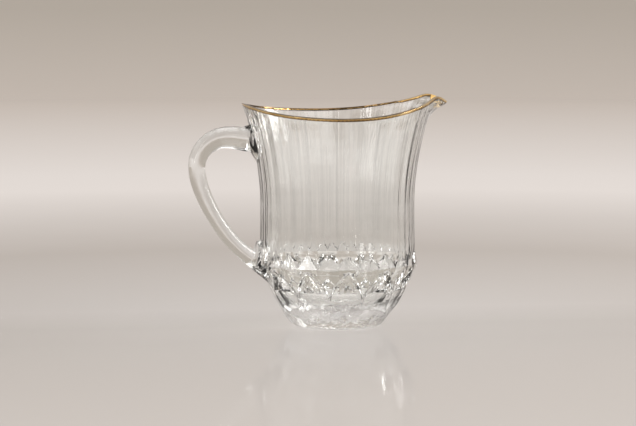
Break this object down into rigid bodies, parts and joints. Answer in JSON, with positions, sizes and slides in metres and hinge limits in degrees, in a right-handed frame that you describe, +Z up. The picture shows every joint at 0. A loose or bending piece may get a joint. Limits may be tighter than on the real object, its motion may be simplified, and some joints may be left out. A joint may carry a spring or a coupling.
{
  "type": "crystal water jug",
  "caption": "Open cut-crystal water jug with fluted walls, a band of gothic arches, a gilt saddle rim with a spout, and one bent rod handle.",
  "frame": {"origin": "centre of the flat base, on the table plane", "axes": "+Z up along the body's own axis, +X towards the spout, the handle on the -X side"},
  "size_m": [0.2226, 0.1572, 0.1961],
  "materials": {
    "crystal": "clear polished cut crystal",
    "handle_glass": "clear fire-polished glass",
    "gilding": "bright fired gold"
  },
  "bodies": {
    "root": {"glass_body": "crystal", "glass_handle": "handle_glass", "gold_rim_band": "gilding"}
  },
  "joints": []
}
